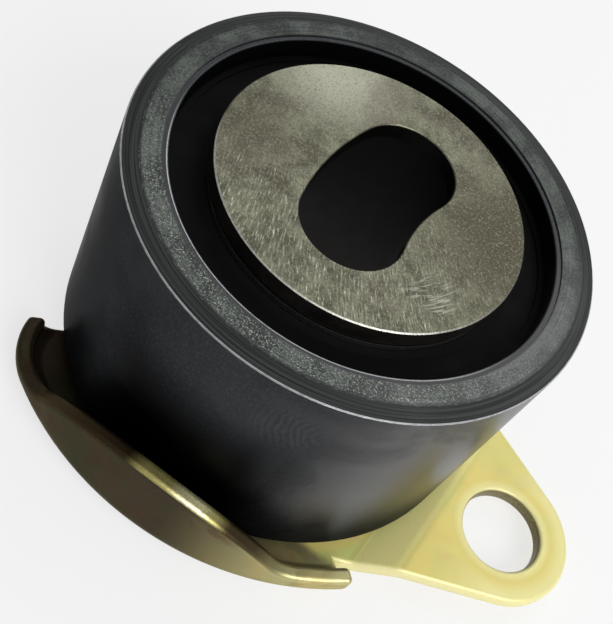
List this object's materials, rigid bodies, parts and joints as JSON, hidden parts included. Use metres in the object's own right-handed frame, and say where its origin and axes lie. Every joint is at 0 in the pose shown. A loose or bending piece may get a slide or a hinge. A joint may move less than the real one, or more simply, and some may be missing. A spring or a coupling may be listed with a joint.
{
  "type": "timing belt tensioner",
  "caption": "Belt tensioner roller on a double-row ball bearing, with a slotted hub swaged into a stamped bracket that has a pivot lug and a belt guard lip.",
  "frame": {"origin": "on the roller's axis, in the plane of the bracket's back face", "axes": "+Z along the roller's axis from the engine towards the slotted hub face, +X towards the pivot lug's hole, and the guard lip on the -Y side"},
  "size_m": [0.0814, 0.0643, 0.04],
  "materials": {
    "roller_black": "semi-gloss black finish on turned steel",
    "ground_steel": "ground steel",
    "zinc_yellow": "yellow passivated zinc on sheet steel",
    "bearing_steel": "ground bearing steel",
    "ball_steel": "polished balls",
    "seal_rubber": "glossy oiled rubber",
    "cage_nylon": "natural nylon"
  },
  "bodies": {
    "bracket": {"base_plate": "zinc_yellow", "hub": "ground_steel", "inner_ring": "bearing_steel"},
    "roller": {"roller": "roller_black", "front_seal": "seal_rubber", "rear_seal": "seal_rubber"},
    "front_row": {"front_cage": "cage_nylon", "front_ball_01": "ball_steel", "front_ball_02": "ball_steel", "front_ball_03": "ball_steel", "front_ball_04": "ball_steel", "front_ball_05": "ball_steel", "front_ball_06": "ball_steel", "front_ball_07": "ball_steel", "front_ball_08": "ball_steel", "front_ball_09": "ball_steel", "front_ball_10": "ball_steel", "front_ball_11": "ball_steel", "front_ball_12": "ball_steel"},
    "rear_row": {"rear_cage": "cage_nylon", "rear_ball_01": "ball_steel", "rear_ball_02": "ball_steel", "rear_ball_03": "ball_steel", "rear_ball_04": "ball_steel", "rear_ball_05": "ball_steel", "rear_ball_06": "ball_steel", "rear_ball_07": "ball_steel", "rear_ball_08": "ball_steel", "rear_ball_09": "ball_steel", "rear_ball_10": "ball_steel", "rear_ball_11": "ball_steel", "rear_ball_12": "ball_steel"}
  },
  "joints": [
    {"name": "roller_spin", "type": "hinge", "parent": "bracket", "child": "roller", "pos_m": [0, 0, 0.02195], "axis": [0, 0, 1], "continuous": true},
    {"name": "front_row_orbit", "type": "hinge", "parent": "bracket", "child": "front_row", "pos_m": [0, 0, 0.02845], "axis": [0, 0, 1], "continuous": true},
    {"name": "rear_row_orbit", "type": "hinge", "parent": "bracket", "child": "rear_row", "pos_m": [0, 0, 0.01545], "axis": [0, 0, 1], "continuous": true}
  ],
  "couplings": [
    {"joint": "front_row_orbit", "follows": "roller_spin", "ratio": 0.5898},
    {"joint": "rear_row_orbit", "follows": "roller_spin", "ratio": 0.5898}
  ]
}
